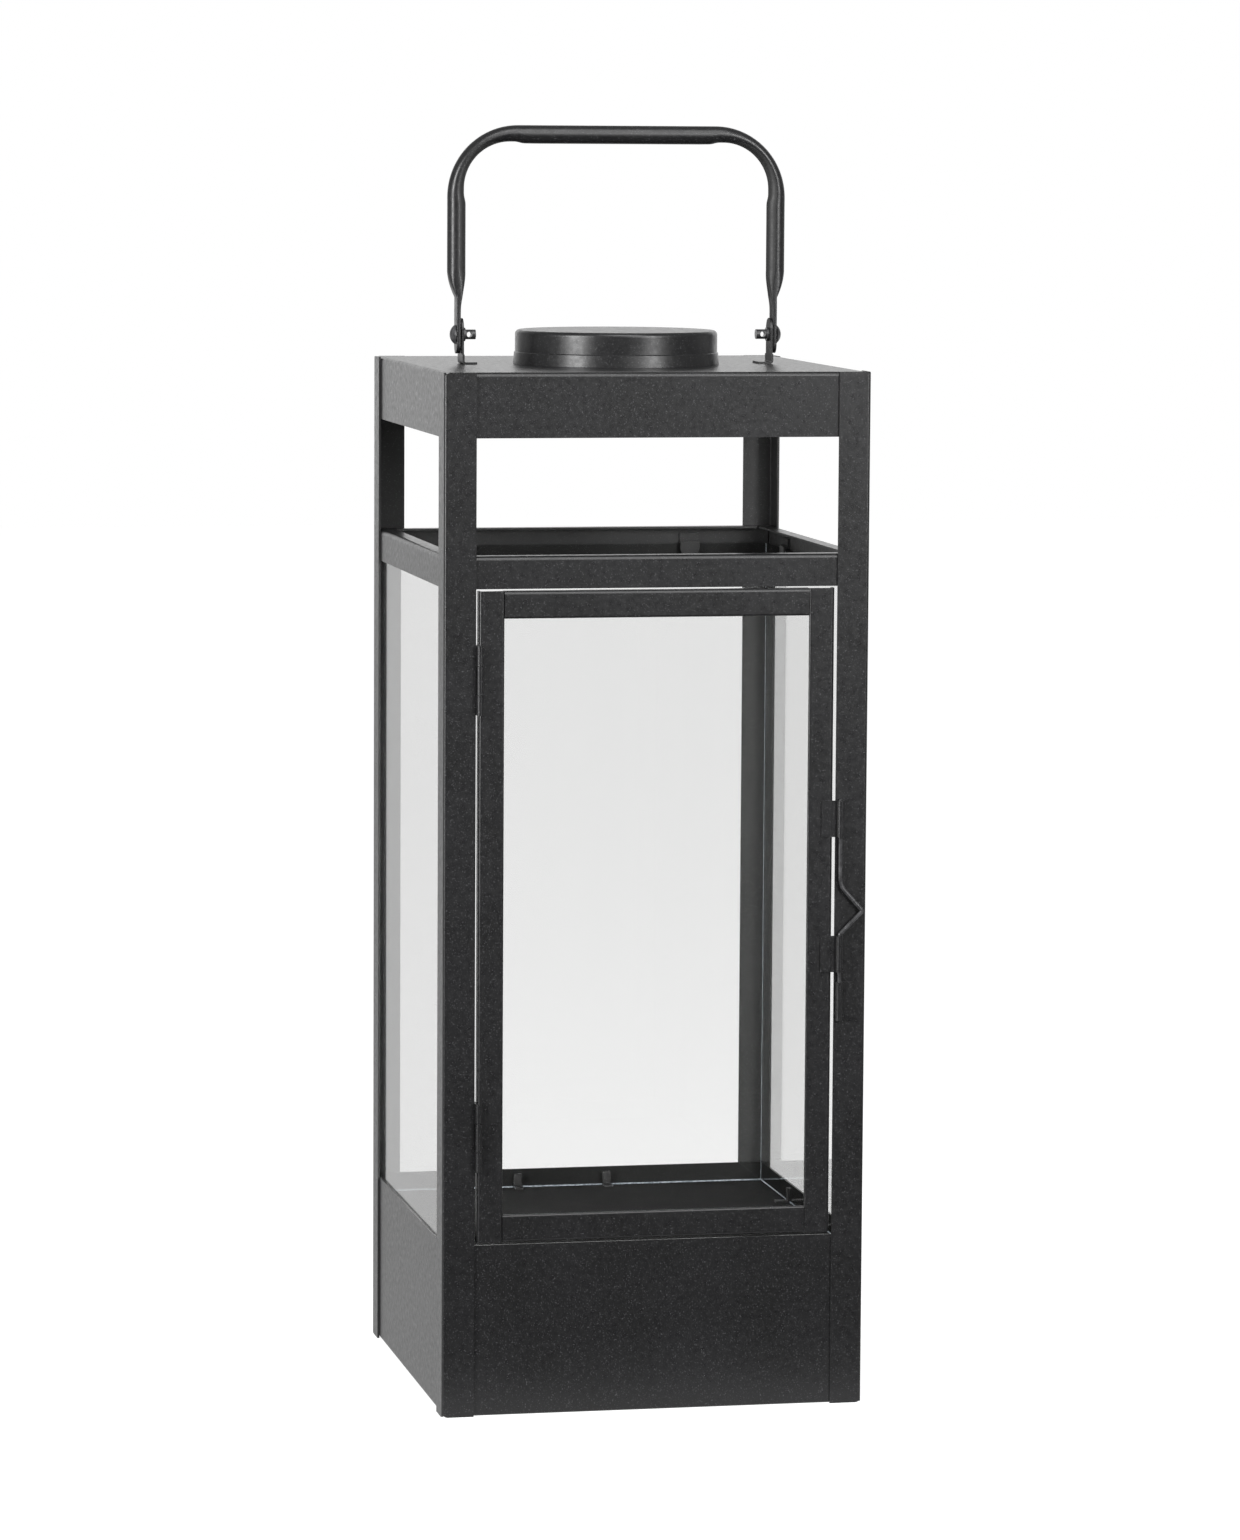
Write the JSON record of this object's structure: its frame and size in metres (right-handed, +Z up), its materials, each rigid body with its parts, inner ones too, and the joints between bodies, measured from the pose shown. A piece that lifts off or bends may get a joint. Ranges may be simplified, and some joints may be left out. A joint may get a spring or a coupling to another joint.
{
  "type": "candle lantern",
  "caption": "Square metal and glass candle lantern with a hinged glass door, a sliding wire bolt, a round top cap and a folding bail handle.",
  "frame": {"origin": "centre of the footprint on the ground; the small knuckles of the hinges and the latch stand out past the front", "axes": "+Z up, +X to the right seen from the front, the door faces -Y"},
  "size_m": [0.2, 0.2037, 0.5962],
  "materials": {
    "black_powder_coat": "satin powder coat with a fine texture",
    "black_hardware": "satin black paint over steel wire and pins",
    "clear_glass": "clear float glass with ground edges"
  },
  "bodies": {
    "frame": {"post_front_left": "black_powder_coat", "post_front_right": "black_powder_coat", "post_rear_left": "black_powder_coat", "post_rear_right": "black_powder_coat", "top_pan": "black_powder_coat", "chimney_cap": "black_powder_coat", "mid_rail_front": "black_powder_coat", "mid_rail_right": "black_powder_coat", "mid_rail_rear": "black_powder_coat", "mid_rail_left": "black_powder_coat", "base_panel_front": "black_powder_coat", "base_panel_right": "black_powder_coat", "base_panel_rear": "black_powder_coat", "base_panel_left": "black_powder_coat", "candle_shelf": "black_powder_coat", "glass_left": "clear_glass", "glass_right": "clear_glass", "glass_rear": "clear_glass", "glass_clips": "black_powder_coat", "glass_stops": "black_powder_coat", "hinge_frame_leaves": "black_powder_coat", "hinge_pins": "black_hardware", "latch_keeper": "black_powder_coat", "ear_left": "black_powder_coat", "ear_right": "black_powder_coat", "pivot_pin_left": "black_hardware", "pivot_pin_right": "black_hardware", "pivot_collars": "black_hardware"},
    "door": {"door_stile_hinge": "black_powder_coat", "door_stile_latch": "black_powder_coat", "door_rail_top": "black_powder_coat", "door_rail_bottom": "black_powder_coat", "door_glass": "clear_glass", "door_glass_clips": "black_powder_coat", "hinge_door_leaves": "black_powder_coat", "latch_loops": "black_powder_coat"},
    "bolt": {"latch_bolt": "black_hardware"},
    "bail": {"bail_handle": "black_powder_coat"}
  },
  "joints": [
    {"name": "door_hinge", "type": "hinge", "parent": "frame", "child": "door", "pos_m": [-0.0834, -0.1019, 0.2325], "axis": [0, 0, -1], "range_deg": [0, 165]},
    {"name": "bolt_slide", "type": "slide", "parent": "door", "child": "bolt", "axis": [0, 0, 1], "range_m": [0, 0.017]},
    {"name": "bail_hinge", "type": "hinge", "parent": "frame", "child": "bail", "pos_m": [0, 0, 0.4979], "axis": [1, 0, 0], "range_deg": [-94, 94]}
  ]
}
